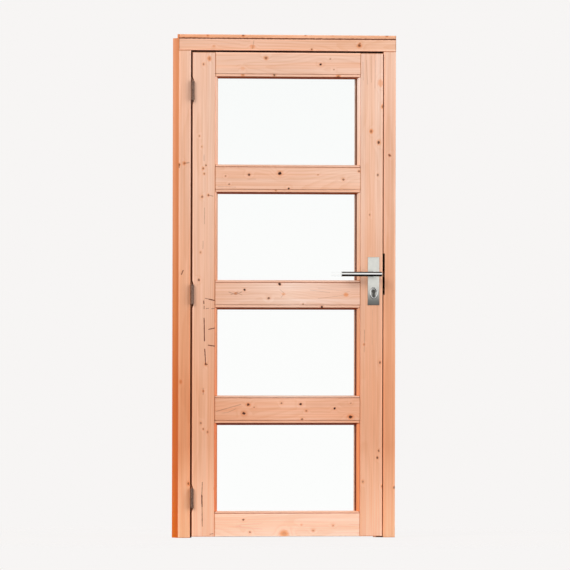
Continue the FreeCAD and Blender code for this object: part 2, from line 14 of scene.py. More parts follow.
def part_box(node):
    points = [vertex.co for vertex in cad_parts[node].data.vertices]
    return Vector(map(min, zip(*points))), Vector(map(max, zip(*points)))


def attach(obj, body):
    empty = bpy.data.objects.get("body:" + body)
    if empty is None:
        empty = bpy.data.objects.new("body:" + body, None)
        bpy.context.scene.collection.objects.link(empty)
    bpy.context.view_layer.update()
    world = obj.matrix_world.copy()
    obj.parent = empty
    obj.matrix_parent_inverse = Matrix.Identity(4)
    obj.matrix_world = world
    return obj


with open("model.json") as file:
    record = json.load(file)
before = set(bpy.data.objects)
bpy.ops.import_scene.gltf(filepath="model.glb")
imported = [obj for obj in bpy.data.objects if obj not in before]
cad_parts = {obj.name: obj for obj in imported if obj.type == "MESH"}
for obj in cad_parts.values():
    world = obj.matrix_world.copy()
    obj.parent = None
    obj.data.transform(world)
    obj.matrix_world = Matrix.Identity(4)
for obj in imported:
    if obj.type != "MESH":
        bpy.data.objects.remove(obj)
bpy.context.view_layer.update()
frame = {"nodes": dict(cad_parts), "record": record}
NODES = frame["nodes"]

# %% [markdown]
# The photograph was taken from a little to the left of the door with a long lens, so its level edges
# stay level. A camera 60 m away with a very long focal length gives that calm, flat perspective. We
# work out the lens from how many metres the picture has to cover, and turn the camera a hair about its
# own axis.

# %% Set up the camera
PICTURE = 2.3729
DISTANCE = 60.0
AZIMUTH = math.radians(-16.5)
ROLL = math.radians(0.14)
AIM = Vector((0.4747, 0.0, 1.0507))

camera_data = bpy.data.cameras.new("camera")
camera_data.sensor_width = 36.0
camera_data.lens = DISTANCE * camera_data.sensor_width / PICTURE
camera_data.clip_start = 1.0
camera_data.clip_end = 500.0
camera = bpy.data.objects.new("camera", camera_data)
bpy.context.scene.collection.objects.link(camera)
sight = Vector((-math.sin(AZIMUTH), math.cos(AZIMUTH), 0.0))
camera.location = AIM - DISTANCE * sight
camera.rotation_mode = "QUATERNION"
camera.rotation_quaternion = sight.to_track_quat("-Z", "Y") @ Quaternion((0.0, 0.0, 1.0), ROLL)
bpy.context.scene.camera = camera
print("lens", round(camera_data.lens), "mm")

# %% [markdown]
# A material is a graph of nodes. Wiring it by hand takes many lines, so we wrap a socket in a small
# class and let Python's own signs add the nodes: a + b becomes an Add node. Plain numbers use Math
# nodes. Vectors use Vector Math and colours use Mix, because a Math node would turn them grey. Every
# other node comes from one method, new, which takes the kind of node, its settings and what goes into
# its sockets.

# %% A socket that can be added and multiplied
class Sock:
    """One output of a node tree. Sums written with it add the nodes that work them out."""

    def __init__(self, tree, socket=None):
        self.tree = tree
        self.socket = socket

    def new(self, kind, settings=None, inputs=None, out=0):
        """Add a node: its settings first, then numbers or links for its inputs. Gives one output."""
        added = self.tree.nodes.new(kind)
        for name, value in (settings or {}).items():
            if name == "stops":
                fill_ramp(added.color_ramp, value)
            else:
                setattr(added, name, value)
        for name, value in (inputs or {}).items():
            if isinstance(value, Sock):
                self.tree.links.new(value.socket, added.inputs[name])
            else:
                added.inputs[name].default_value = value
        return Sock(self.tree, added.outputs[out])

    def __add__(self, other):
        return work("ADD", self, other)

    def __radd__(self, other):
        return work("ADD", other, self)

    def __sub__(self, other):
        return work("SUBTRACT", self, other)

    def __rsub__(self, other):
        return work("SUBTRACT", other, self)

    def __mul__(self, other):
        return work("MULTIPLY", self, other)

    def __rmul__(self, other):
        return work("MULTIPLY", other, self)

    def __truediv__(self, other):
        return work("DIVIDE", self, other)

    def __rtruediv__(self, other):
        return work("DIVIDE", other, self)


def work(operation, *values):
    """One Math, Vector Math or Mix node, whichever suits what the values are."""
    maker = next(value for value in values if isinstance(value, Sock))
    kinds = [kind_of(value) for value in values]
    if "RGBA" in kinds:
        one, other = [as_colour(value) for value in values]
        settings = {"data_type": "RGBA", "blend_type": operation}
        return maker.new("ShaderNodeMix", settings, {0: 1.0, 6: one, 7: other}, 2)
    if "VECTOR" in kinds:
        filled = [(value,) * 3 if isinstance(value, (int, float)) else value for value in values]
        out = 1 if operation == "LENGTH" else 0
        return maker.new("ShaderNodeVectorMath", {"operation": operation}, dict(enumerate(filled)), out)
    return maker.new("ShaderNodeMath", {"operation": operation}, dict(enumerate(values)))


def kind_of(value):
    if isinstance(value, Sock):
        return value.socket.type
    return "VALUE" if isinstance(value, (int, float)) else "VECTOR" if len(value) == 3 else "RGBA"


def as_colour(value):
    return (value, value, value, 1.0) if isinstance(value, (int, float)) else value


def fill_ramp(ramp, stops):
    first, *middle, last = stops
    ramp.elements[0].position, ramp.elements[0].color = first
    ramp.elements[1].position, ramp.elements[1].color = last
    for place, colour in middle:
        ramp.elements.new(place).color = colour


print("sums on sockets are ready")

# %% [markdown]
# Some sums come back again and again: a soft step from 0 to 1, the larger of two values, a blend of two
# colours, and noise. Each gets a short name here. Colours are written as they look on screen, from 0 to
# 255, and tone turns them into the amounts of light that a shader works with.

# %% Small helpers for materials
def tone(red, green, blue):
    """A colour as seen on screen, turned into amounts of light."""
    parts = []
    for part in (red, green, blue):
        share = part / 255
        parts.append(share / 12.92 if share <= 0.04045 else ((share + 0.055) / 1.055) ** 2.4)
    return (*parts, 1.0)


def step(value, low, high):
    """A soft step from 0 to 1 while value goes from low to high."""
    settings = {"interpolation_type": "SMOOTHSTEP"}
    return value.new("ShaderNodeMapRange", settings, {0: value, 1: low, 2: high, 3: 0.0, 4: 1.0})


def larger(one, other):
    return work("MAXIMUM", one, other)


def smaller(one, other):
    return work("MINIMUM", one, other)


def size_of(value):
    return work("ABSOLUTE", value)


def blend(share, one, other):
    """From one colour to the other by a share from 0 to 1."""
    settings = {"data_type": "RGBA", "blend_type": "MIX"}
    return share.new("ShaderNodeMix", settings, {0: share, 6: one, 7: other}, 2)


def shaded(colour, mask, shade):
    """A colour, multiplied by a shade where the mask is 1."""
    return colour * blend(mask, as_colour(1.0), shade)


def noise(place, detail=2.0, roughness=0.5):
    """Smooth noise about 0.5 at a place, one wave a unit."""
    inputs = {"Vector": place, "Scale": 1.0, "Detail": detail, "Roughness": roughness}
    return place.new("ShaderNodeTexNoise", None, inputs)


def start_material(name):
    """An empty material, its shader and a first socket to build on."""
    material = bpy.data.materials.new(name)
    material.use_nodes = True
    shader = material.node_tree.nodes["Principled BSDF"]
    return material, shader, Sock(material.node_tree)


def plug(value, shader, name):
    value.tree.links.new(value.socket, shader.inputs[name])


def dress(node, material):
    """Give a CAD node's object one material."""
    slots = NODES[node].data.materials
    slots.clear()
    slots.append(material)


print("pale pine is", [round(v, 3) for v in tone(240, 196, 170)])

# %% [markdown]
# Pine is cut from a round log, so its figure is a slice through growth rings. We copy that: a distance
# from the log's pith, bent by slow noise, is cut into rings. Where the board is cut along the rings
# they draw broad arches, and where it is cut across them they draw close stripes, without us painting
# either. A knot is a small branch, so it pushes the rings apart and shows a dark core with a warm halo.
# A stroke is a short drying crack, or a branch that the saw cut lengthwise.

# %% Knots and strokes as masks
KNOT_CORE = tone(60, 20, 6)
STROKE = tone(98, 34, 8)
WARM = (0.95, 0.64, 0.42, 1.0)
ACROSS_KNOT = 870
ALONG_KNOT = 700


def gather(masks):
    """The largest of several masks, or none."""
    found = None
    for mask in masks:
        found = mask if found is None else larger(found, mask)
    return found


def knot_masks(place, run, ragged, knots):
    """Core, halo and push of the knots, each given as (x, z, size, depth, warm) in mm."""
    cores, halos, pushes = [], [], []
    for knot_x, knot_z, size, depth, warm in knots:
        wide, long = ACROSS_KNOT / size, ALONG_KNOT / size
        scale = (long, 0.0, wide) if run == "x" else (wide, 0.0, long)
        offset = (-knot_x / 1000 * scale[0], 0.0, -knot_z / 1000 * scale[2])
        apart = work("LENGTH", place * scale + offset) + (ragged - 0.5) * 1.1
        cores.append(step(apart, 1.0, 0.65) * depth)
        halos.append(step(apart, 2.2, 0.9) * warm)
        pushes.append(step(apart, 5.0, 0.5) * (size / 1000))
    return gather(cores), gather(halos), gather(pushes)


def stroke_mask(x, z, ragged, strokes):
    """Thin strokes, each given as (x, z, x, z, width, depth) in mm, with ragged edges."""
    masks = []
    for x0, z0, x1, z1, wide, depth in strokes:
        length = math.hypot(x1 - x0, z1 - z0) / 1000
        run_x, run_z = (x1 - x0) / 1000 / length, (z1 - z0) / 1000 / length
        from_x, from_z = x - x0 / 1000, z - z0 / 1000
        share = smaller(larger(from_x * run_x + from_z * run_z, 0.0), length)
        off_x, off_z = from_x - share * run_x, from_z - share * run_z
        apart = work("SQRT", off_x * off_x + off_z * off_z) + (ragged - 0.5) * (0.0016 * wide)
        masks.append(step(apart, wide / 650, wide / 1800) * min(1.0, 1.15 * depth))
    return gather(masks)


print("core", [round(v, 3) for v in KNOT_CORE], "stroke", [round(v, 3) for v in STROKE])

# %% [markdown]
# Every board measures its own places: how far a point lies along the grain and across it, and which way
# the face looks. One small class keeps these sockets together for the functions that follow. The grain
# runs along x in level boards and along z in upright ones.

# %% A board's own measures
def tint_ramp(place, tints):
    """Colours at places along a board, in metres, blended between them."""
    low, high = tints[0][0], tints[-1][0]
    stops = [((at - low) / (high - low), colour) for at, colour in tints]
    share = (place - low) / (high - low)
    return share.new("ShaderNodeValToRGB", {"stops": stops}, {0: share})


def split(base, vector):
    """The three parts of a vector."""
    parts = base.new("ShaderNodeSeparateXYZ", None, {0: vector})
    return [Sock(base.tree, output) for output in parts.socket.node.outputs]


class Board:
    """The sockets that all parts of one board's material share. run is "x" or "z"."""

    def __init__(self, name, run, seed, base):
        self.name = name
        self.run = run
        self.seed = seed
        self.low, self.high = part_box(name)
        self.place = base.new("ShaderNodeTexCoord", None, None, "Object")
        self.x, self.y, self.z = split(base, self.place)
        self.along, self.across = (self.x, self.z) if run == "x" else (self.z, self.x)
        facing = base.new("ShaderNodeTexCoord", None, None, "Normal")
        self.face_x, self.face_y, self.face_z = split(base, facing)

    def stretched(self, wide, long, shift=0.0):
        """The place with wide waves a metre across the board and long waves a metre along it."""
        scale = (long, wide, wide) if self.run == "x" else (wide, wide, long)
        return self.place * scale + (self.seed + shift, 3.1 * self.seed, shift - self.seed)


# the way each piece's grain runs, and the middle of its width
PLACES = {}
for name in NODES:
    low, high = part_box(name)
    level = high[0] - low[0] > high[2] - low[2] and not name.endswith("upright_beads")
    PLACES[name] = ("x", (low[2] + high[2]) / 2) if level else ("z", (low[0] + high[0]) / 2)
print(sum(run == "x" for run, middle in PLACES.values()), "pieces lie level, the rest stand")

# %% [markdown]
# The rings run round a pith that lies behind the board, and slow noise bends them. The late, dark part
# of each ring is drawn over the board's own tint, with broad bands, patches, streaks and fine fibres.

# %% Growth rings and grain
RINGS = 290.0


def late_wood(board, push):
    """The dark part of each growth ring, pushed apart by knots."""
    slow = noise(board.stretched(5, 0.7), 1.5) - 0.5
    sway = noise(board.stretched(9, 1.6, 7.0), 1.0) - 0.5
    fine = noise(board.stretched(60, 4.0, 3.0), 1.0) - 0.5
    pith = 0.24 + 0.13 * math.sin(board.seed * 2.3)
    middle = {"x": 0.04, "z": 0.03}[board.run] * math.sin(board.seed * 1.7)
    calm = 1.0 if board.run == "x" else 0.35
    aside = board.across - (PLACES[board.name][1] + middle) + slow * (0.06 * calm)
    behind = board.y - pith + sway * (0.05 * calm)
    distance = work("SQRT", aside * aside + behind * behind) + fine * 0.0012
    if push is not None:
        distance = distance + push * 0.8
    ring = work("FRACT", distance * RINGS)
    return step(ring, 0.35, 0.9) * step(ring, 1.0, 0.93)


def grain(board, tints, late, figure, fibres):
    """The board's tint with its rings, bands, patches, streaks and fibres."""
    bands = noise(board.stretched(34, 0.9, 2.0), 2.0)
    patches = noise(board.stretched(6, 2.2, 5.0), 2.0)
    streaks = noise(board.stretched(190, 2.0, 4.0), 3.0, 0.65)
    colour = tint_ramp(board.along, tints)
    colour = colour * blend(late * figure, as_colour(1.03), (0.90, 0.77, 0.64, 1.0))
    colour = colour * blend(step(bands, 0.35, 0.68), (1.0, 1.02, 1.04, 1.0), (1.0, 0.93, 0.87, 1.0))
    colour = colour * blend(step(patches, 0.3, 0.7), (0.97, 0.95, 0.93, 1.0), as_colour(1.03))
    colour = colour * blend(step(streaks, 0.3, 0.72), (0.93, 0.85, 0.78, 1.0), as_colour(1.045))
    return colour * blend(fibres, as_colour(0.95), as_colour(1.045))


print("rings are", round(1000 / RINGS, 2), "mm wide")

# %% [markdown]
# A painted highlight, a paler band along a board's long edges, stands for the light those edges catch,
# and where two boards meet the joint collects a thin brown line. Some faces have a colour of their own:
# cut ends were never sanded and have gone brown. Other faces carry painted shade: the undersides of
# beads, a line along the glass, the front of each stop behind the gap round the leaf, and the faces
# that look into that gap. The outer side of the frame is orange, with painted shade in its tints.

# %% Painted edge highlights, joints, and faces of another colour or of painted shade
END_SHADE = (0.84, 0.66, 0.50, 1.0)
JOINT_SHADE = (0.62, 0.44, 0.32, 1.0)
# painted shade: the undersides of the beads are darkened
UNDERSIDE_PAINTED_SHADE = (0.48, 0.15, 0.05, 1.0)
# painted shade: the front of each stop lies behind the gap round the leaf and is made near black
STOP_PAINTED_SHADE = tone(50, 16, 6)
# painted shade: a line along the glass on the inner edge of each upright bead, dark on the right
GLASS_EDGE_PAINTED_SHADE_LEFT = (0.95, 0.74, 0.56, 1.0)
GLASS_EDGE_PAINTED_SHADE_RIGHT = (0.17, 0.08, 0.05, 1.0)
LEFT_BEAD = (0.97, 0.86, 0.80, 1.0)
SILL = (1.2, 1.38, 1.55, 1.0)
# painted shade: the stile and jamb faces seen through the gaps beside the leaf are darkened
GAP_EDGE_PAINTED_SHADES = {"hinge_stile": (0.30, 0.16, 0.10, 1.0), "lock_jamb": (0.42, 0.27, 0.19, 1.0)}
BEAD_WIDTH = 0.016
# metres from an edge where each line begins to show and where it is full
PAINTED_HIGHLIGHT_BAND = (0.0085, 0.004)
JOINT_LINE = (0.0036, 0.0014)
GLASS_EDGE_PAINTED_SHADE_LINE = (0.0055, 0.0034)
JOINT_WAVER = 0.002


def painted_highlight_and_joints(board, colour, ragged, pale):
    """A painted highlight along the long edges and brown joints at both ends, on front and back only."""
    first, second = (2, 0) if board.run == "x" else (0, 2)
    edge = smaller(board.across - board.low[first], board.high[first] - board.across)
    end = smaller(board.along - board.low[second], board.high[second] - board.along)
    level = size_of(board.face_y)
    # painted highlight: the long edges of the front and back are made paler
    band = step(edge, *PAINTED_HIGHLIGHT_BAND) * step(level, 0.55, 0.95)
    colour = shaded(colour, band, as_colour(1 + pale))
    joint = step(end + (ragged - 0.5) * JOINT_WAVER, *JOINT_LINE) * step(level, 0.3, 0.6)
    return shaded(colour, joint, JOINT_SHADE)


def bead_faces(board, colour):
    """Painted shade on the undersides and along the glass, and a paler strip over the bottom rail."""
    # painted shade on the faces of the beads that look down
    colour = shaded(colour, step(board.face_z, -0.25, -0.6), UNDERSIDE_PAINTED_SHADE)
    if board.run == "z":
        inner = (board.high[0] - board.low[0]) / 2 - BEAD_WIDTH
        from_middle = board.x - (board.low[0] + board.high[0]) / 2
        right = step(from_middle, -0.1, 0.1)
        # painted shade along the glass edge of the upright beads
        near = step(size_of(from_middle), *(inner + reach for reach in GLASS_EDGE_PAINTED_SHADE_LINE))
        colour = shaded(colour, near, blend(right, GLASS_EDGE_PAINTED_SHADE_LEFT, GLASS_EDGE_PAINTED_SHADE_RIGHT))
        colour = colour * blend(right, LEFT_BEAD, as_colour(1.0))
    if board.name == "bottom_level_beads":
        colour = colour * blend(step(board.z, 0.2, 0.3), SILL, as_colour(1.0))
    return colour


def outer_side(board, colour, side, fibres):
    """The orange side facing -X, with painted shade in its tints, cloudy and paler towards the back."""
    clouds = step(noise(board.place * (1.0, 55.0, 1.4), 2.0), 0.3, 0.7)
    shade = blend(clouds, (1.05, 1.08, 1.12, 1.0), (0.95, 0.88, 0.8, 1.0))
    depth = blend(step(board.y, -0.030, 0.035), (0.97, 0.90, 0.82, 1.0), (1.10, 1.22, 1.5, 1.0))
    fine = blend(fibres, as_colour(0.94), as_colour(1.06))
    return blend(step(board.face_x, -0.6, -0.9), colour, tint_ramp(board.z, side) * shade * depth * fine)


print("bead glass_edge_painted_shade", GLASS_EDGE_PAINTED_SHADE_LEFT[:3], "on the left and", GLASS_EDGE_PAINTED_SHADE_RIGHT[:3], "on the right")

# %% [markdown]
# One function puts a board together: grain first, then the painted edge highlight and the joints, knots
# and strokes, and the odd faces on top, several of them with painted shade. A little bump lets the
# rings, fibres, knots and cracks catch the light.

# %% The pine material
def pine(name, run, tints, seed, side, pale, figure):
    """Pine with its grain along run, "x" or "z"; side tints the outer face that looks to -X."""
    material, shader, base = start_material(name)
    board = Board(name, run, seed, base)
    ragged = noise(board.stretched(190, 90), 2.0, 0.6)
    fibres = noise(board.stretched(900, 14, 9.0), 2.0, 0.6)
    core, halo, push = knot_masks(board.place, run, ragged, KNOTS.get(name, ()))
    # how strong the painted highlight along the long edges is
    line = stroke_mask(board.x, board.z, ragged, STROKES.get(name, ()))
    late = late_wood(board, push)
    colour = painted_highlight_and_joints(board, grain(board, tints, late, figure, fibres), ragged, pale)
    bump = late * 0.25 + fibres * 0.75
    if halo is not None:
        colour = blend(core, shaded(colour, halo, WARM), KNOT_CORE)
        bump = bump - core * 0.6
    if line is not None:
        colour = blend(line, colour, STROKE)
        bump = bump - line
    cut = size_of(board.face_x if run == "x" else board.face_z)
    colour = shaded(colour, step(cut, 0.8, 0.95), END_SHADE)
    if name.endswith("beads"):
        colour = bead_faces(board, colour)
    # painted shade in the gap: the front of each stop is near black
    if name.endswith("stop"):
        colour = blend(step(board.face_y, -0.5, -0.9), colour, STOP_PAINTED_SHADE)
    # painted shade on the faces that look into the gaps beside the leaf
    if name in GAP_EDGE_PAINTED_SHADES:
        colour = shaded(colour, step(board.face_x, -0.7, -0.95), GAP_EDGE_PAINTED_SHADES[name])
    if side is not None:
        colour = outer_side(board, colour, side, fibres)
    plug(colour, shader, "Base Color")
    plug(0.46 + late * 0.08 + fibres * 0.08, shader, "Roughness")
    relief = {"Strength": 0.25, "Distance": 0.0006, "Height": bump}
    plug(base.new("ShaderNodeBump", None, relief), shader, "Normal")
    shader.inputs["Specular IOR Level"].default_value = 0.3 if side is None else 0.06
    return material


print("pine is ready")

# %% [markdown]
# Every board comes from another log, so each has its own tint. The uprights are pale pink at the top,
# warmer and darker low down, and pale again at the foot. We write a few tints along each board.

# %% Tints of the boards
JAMB_TINTS = [
    (0.0, tone(268, 209, 168)),
    (0.10, tone(264, 200, 160)),
    (0.38, tone(230, 159, 118)),
    (0.62, tone(227, 160, 121)),
    (0.95, tone(229, 171, 137)),
    (1.40, tone(231, 184, 158)),
    (1.80, tone(235, 189, 164)),
    (2.05, tone(237, 197, 175)),
]
STILE_TINTS = [
    (0.0, tone(270, 215, 185)),
    (0.12, tone(262, 207, 175)),
    (0.38, tone(236, 178, 145)),
    (0.62, tone(233, 175, 142)),
    (0.95, tone(231, 181, 153)),
    (1.40, tone(236, 194, 171)),
    (1.80, tone(237, 200, 180)),
    (2.05, tone(238, 201, 183)),
]
# tints of the outer side: an orange of its own, made darker as painted shade
SIDE_TINTS = [
    (0.0, tone(262, 121, 18)),
    (0.3, tone(241, 111, 14)),
    (0.6, tone(231, 110, 24)),
    (0.95, tone(235, 131, 62)),
    (1.27, tone(241, 144, 86)),
    (1.9, tone(249, 157, 102)),
]
BEAD_TINTS = [
    (0.1, tone(262, 164, 110)),
    (0.45, tone(258, 160, 108)),
    (0.85, tone(247, 180, 142)),
    (1.3, tone(252, 206, 178)),
    (1.9, tone(268, 240, 227)),
]
RAIL_TINTS = {
    "head": [(0.0, tone(232, 185, 159)), (0.45, tone(234, 191, 168)), (0.94, tone(235, 197, 175))],
    "head_cap": [(0.0, tone(228, 168, 133)), (0.45, tone(230, 174, 141)), (0.94, tone(231, 179, 147))],
    "top_rail": [(0.1, tone(236, 193, 169)), (0.45, tone(235, 194, 172)), (0.8, tone(236, 194, 172))],
    "upper_rail": [(0.1, tone(236, 194, 172)), (0.45, tone(235, 192, 169)), (0.8, tone(237, 196, 173))],
    "middle_rail": [(0.1, tone(232, 181, 153)), (0.48, tone(241, 210, 194)), (0.8, tone(235, 192, 170))],
    "lower_rail": [(0.1, tone(233, 175, 143)), (0.48, tone(240, 187, 159)), (0.8, tone(236, 178, 147))],
    "bottom_rail": [(0.1, tone(273, 226, 199)), (0.48, tone(275, 231, 206)), (0.8, tone(275, 231, 206))],
}
UPRIGHT_TINTS = {"jamb": JAMB_TINTS, "stop": JAMB_TINTS, "beads": BEAD_TINTS}
BEAD_RAILS = {"top": "top_rail", "upper": "upper_rail", "lower": "middle_rail", "bottom": "lower_rail"}
print("tints for", 3 + len(RAIL_TINTS), "kinds of board and for the outer side")

# %% [markdown]
# A knotty board is known by its knots, so we place them one by one rather than leave them to noise.
# Each has its place on the face in millimetres, its size, how dark its core is and how warm its halo.
# Cracks and cut branches follow as strokes, from one place to another.

# %% Knots and strokes
KNOTS = {
    "head": [
        (782, 2048, 5, 0.75, 0.9),
        (784, 2057, 3, 0.35, 0.8),
        (318, 2041, 5, 0.05, 0.7),
        (575, 2032, 3, 0.8, 0.5),
        (151, 2043, 3, 0.1, 0.5),
    ],
    "head_cap": [
        (278, 2087, 4, 0.6, 0.8),
        (548, 2093, 4, 0.85, 0.8),
        (124, 2087, 3, 0.3, 0.7),
        (902, 2090, 4, 0.5, 0.8),
        (667, 2092, 3, 0.3, 0.6),
    ],
    "hinge_stile": [
        (129, 1990, 5, 0.35, 1),
        (104, 1967, 3.5, 0.55, 0.6),
        (115, 1547, 3, 0.7, 0.5),
        (104, 1534, 3.5, 0.6, 0.8),
        (108, 1512, 3, 0.5, 0.8),
        (99, 1416, 4, 0.6, 0.6),
        (126, 1423, 3.5, 0.75, 0.8),
        (87, 1669, 3, 0.35, 0.5),
        (97, 1624, 3, 0.35, 0.4),
        (93, 1185, 3, 0.35, 0.5),
        (86, 1071, 4.5, 0.75, 0.3),
        (116, 721, 4, 0.8, 0.8),
        (106, 609, 3, 0.3, 0.9),
        (96, 477, 4, 0.45, 0.3),
        (106, 452, 3, 0.5, 0.6),
        (125, 440, 4, 0.4, 0.5),
        (157, 204, 3, 0.5, 0.5),
    ],
    "hinge_jamb": [
        (2, 1549, 4, 0.85, 0.8),
        (24, 1555, 4, 0.4, 0.9),
        (45, 225, 4, 0.7, 0.7),
        (10, 648, 4, 0.15, 0.8),
    ],
    "top_rail": [
        (374, 1994, 5, 0.65, 0.9),
        (611, 1969, 4.5, 1, 0.4),
        (653, 1992, 3, 0.45, 0.3),
        (669, 1948, 3, 0.5, 0.3),
        (274, 1949, 4, 0, 0.4),
    ],
    "upper_rail": [
        (435, 1515, 7, 1, 0.5),
        (302, 1509, 4.5, 0.85, 0.4),
        (601, 1510, 2.5, 0.4, 0.5),
        (711, 1490, 4.2, 0.7, 0.5),
        (780, 1525, 4, 0.65, 0.7),
        (474, 1452, 4, 1, 0.3),
        (216, 1469, 3, 0.6, 0.3),
        (200, 1503, 3, 0.5, 0.4),
    ],
    "middle_rail": [
        (284, 1030, 4.5, 1, 0.3),
        (436, 1054, 5.5, 1, 0.4),
        (388, 995, 4.5, 0.75, 0.3),
        (724, 1011, 4.5, 0.05, 1),
        (245, 1015, 3, 0.15, 0.9),
        (453, 1013, 3.5, 0, 0.7),
        (538, 971, 3, 0.5, 0.4),
    ],
    "lower_rail": [
        (301, 553, 5, 0.9, 0.8),
        (282, 517, 6, 0.95, 0.6),
        (326, 542, 3, 0.4, 0.4),
        (445, 559, 3.5, 0.6, 0.3),
        (528, 555, 4.8, 1, 0.4),
        (553, 527, 3.5, 0.5, 0.7),
        (676, 537, 4.5, 1, 0.3),
        (745, 502, 6.5, 0.95, 0.9),
        (746, 559, 3, 0.35, 0.3),
        (534, 492, 4, 0.7, 0.5),
    ],
    "bottom_rail": [
        (281, 75, 4, 0.75, 0.3),
        (310, 23, 4, 0.5, 0.4),
        (457, 15, 9, 0.18, 1),
        (584, 29, 4, 0.3, 0.5),
        (670, 49, 3.5, 0.35, 0.4),
        (533, 52, 3, 0.15, 0.4),
    ],
    "lock_stile": [
        (832, 1692, 4.5, 0.55, 1),
        (864, 1646, 5.5, 0.85, 0.7),
        (883, 1795, 5, 0.5, 1),
        (872, 1893, 7, 0, 0.7),
        (861, 1510, 4, 0.6, 0.3),
        (826, 1344, 3.5, 0.45, 0.3),
        (803, 804, 3, 0.3, 0.8),
        (873, 729, 4, 0.65, 0.5),
        (862, 332, 4, 0.8, 0.4),
        (868, 361, 3.5, 0.7, 0.4),
        (884, 213, 4, 0.6, 0.5),
        (799, 232, 4, 0.4, 0.4),
    ],
    "lock_jamb": [
        (915, 1592, 4, 0.7, 0.6),
        (938, 208, 4, 0.7, 0.4),
    ],
    "upper_level_beads": [
        (419, 1444, 3, 0.4, 0.6),
    ],
    "lower_level_beads": [
        (620, 960, 4.2, 1, 0.4),
        (432, 970, 3.5, 0.8, 0.4),
    ],
    "top_level_beads": [
        (411, 1923, 4, 0.75, 0.6),
        (689, 1919, 5, 0.55, 1),
        (275, 1923, 4, 0.3, 0.9),
    ],
}
STROKES = {
    "head_cap": [(0, 2075, 942, 2075, 2.8, 0.75)],
    "head": [
        (0, 2075, 942, 2075, 2.8, 0.75),
        (318, 2033, 324, 2066, 1.6, 0.25),
        (778, 2053, 787, 2055, 1.5, 0.5),
        (7, 2066, 307, 2064, 1.5, 0.1),
        (16, 2055, 263, 2053, 1.4, 0.08),
    ],
    "hinge_stile": [
        (107, 1591, 107, 1566, 1.2, 0.35),
        (110, 1370, 110, 1304, 1.2, 0.3),
        (104, 1233, 103, 1200, 1.2, 0.35),
        (109, 912, 111, 818, 2, 0.85),
        (112, 783, 116, 724, 2, 0.85),
        (116, 723, 124, 720, 1.6, 0.7),
        (128, 800, 155, 796, 1.8, 0.85),
        (129, 866, 155, 871, 1.8, 0.8),
        (113, 995, 131, 991, 1.3, 0.6),
        (131, 991, 153, 986, 2, 0.9),
        (107, 983, 108, 973, 2.2, 0.7),
        (109, 962, 109, 952, 1.6, 0.6),
        (118, 952, 129, 953, 1.4, 0.5),
        (141, 951, 155, 953, 1.5, 0.55),
        (103, 230, 101, 176, 1.5, 0.6),
        (101, 176, 102, 130, 2.2, 0.85),
        (102, 130, 103, 48, 1.6, 0.6),
        (136, 15, 151, 17, 1.4, 0.6),
        (126, 1423, 146, 1419, 2.2, 0.35),
        (106, 621, 106, 596, 1.8, 0.35),
    ],
    "hinge_jamb": [
        (27, 1555, 44, 1558, 2.4, 0.35),
        (13, 1094, 20, 1110, 2, 0.75),
        (-1, 1553, 2, 1537, 2.2, 0.6),
    ],
    "lower_rail": [
        (163, 525, 269, 554, 1.6, 0.32),
        (213, 521, 248, 536, 1.2, 0.25),
        (213, 521, 187, 518, 1.2, 0.2),
    ],
    "middle_rail": [
        (216, 1021, 246, 1010, 1.5, 0.4),
        (246, 1010, 272, 1022, 1.4, 0.4),
        (225, 1010, 255, 1020, 1.3, 0.35),
        (272, 1009, 246, 1019, 1.2, 0.3),
        (437, 1032, 455, 1017, 1.2, 0.25),
        (455, 1015, 442, 999, 1.2, 0.22),
        (568, 1030, 654, 1020, 1, 0.22),
        (602, 994, 720, 1009, 1, 0.22),
        (602, 1038, 741, 1024, 1, 0.16),
    ],
    "upper_rail": [
        (297, 1491, 330, 1491, 2.2, 0.12),
        (167, 1460, 245, 1457, 1.2, 0.25),
    ],
    "bottom_rail": [
        (249, 49, 269, 49, 2.2, 0.16),
        (266, 53, 362, 61, 1.2, 0.14),
        (266, 45, 362, 36, 1.2, 0.14),
        (744, 54, 787, 54, 2, 0.1),
    ],
    "lock_stile": [
        (795, 1980, 797, 1905, 1.2, 0.22),
        (810, 1988, 815, 1888, 1.4, 0.2),
        (831, 2005, 832, 1897, 1.6, 0.18),
        (850, 1988, 848, 1872, 1.2, 0.15),
        (805, 864, 804, 773, 1.3, 0.3),
        (839, 948, 838, 802, 1, 0.15),
    ],
    "lock_jamb": [
        (910, 1595, 921, 1589, 1.3, 0.8),
    ],
}
print(sum(map(len, KNOTS.values())), "knots and", sum(map(len, STROKES.values())), "strokes")

# %% [markdown]
# Now every wooden node gets its own pine. The seed moves the board to another part of the noise, so
# that no two boards repeat each other.

# %% Dress the wood
record = frame["record"]
slot_of = {part["node"]: part["material_slot"] for part in record["subparts"]}
wooden = [name for name in sorted(NODES) if slot_of[name] == "pine"]
for number, name in enumerate(wooden):
    run = PLACES[name][0]
    first, last = name.split("_")[0], name.split("_")[-1]
    if run == "z":
        tints = UPRIGHT_TINTS.get(last, STILE_TINTS)
    elif name in RAIL_TINTS:
        tints = RAIL_TINTS[name]
    else:
        tints = RAIL_TINTS[BEAD_RAILS.get(first, "head")]
    side = SIDE_TINTS if name in ("hinge_jamb", "head", "head_cap") else None
    pale = 0.05 if last == "beads" else 0.16
    figure = 0.32 if run == "x" else 0.24
    dress(name, pine(name, run, tints, 1.37 * number + 0.6, side, pale, figure))
print(len(wooden), "wooden pieces dressed")

# %% [markdown]
# The panes are clear float glass. A Principled shader with full transmission bends and mirrors light as
# glass does, but it would also hold back the lamps' light. So for shadow rays alone a transparent
# shader takes over.

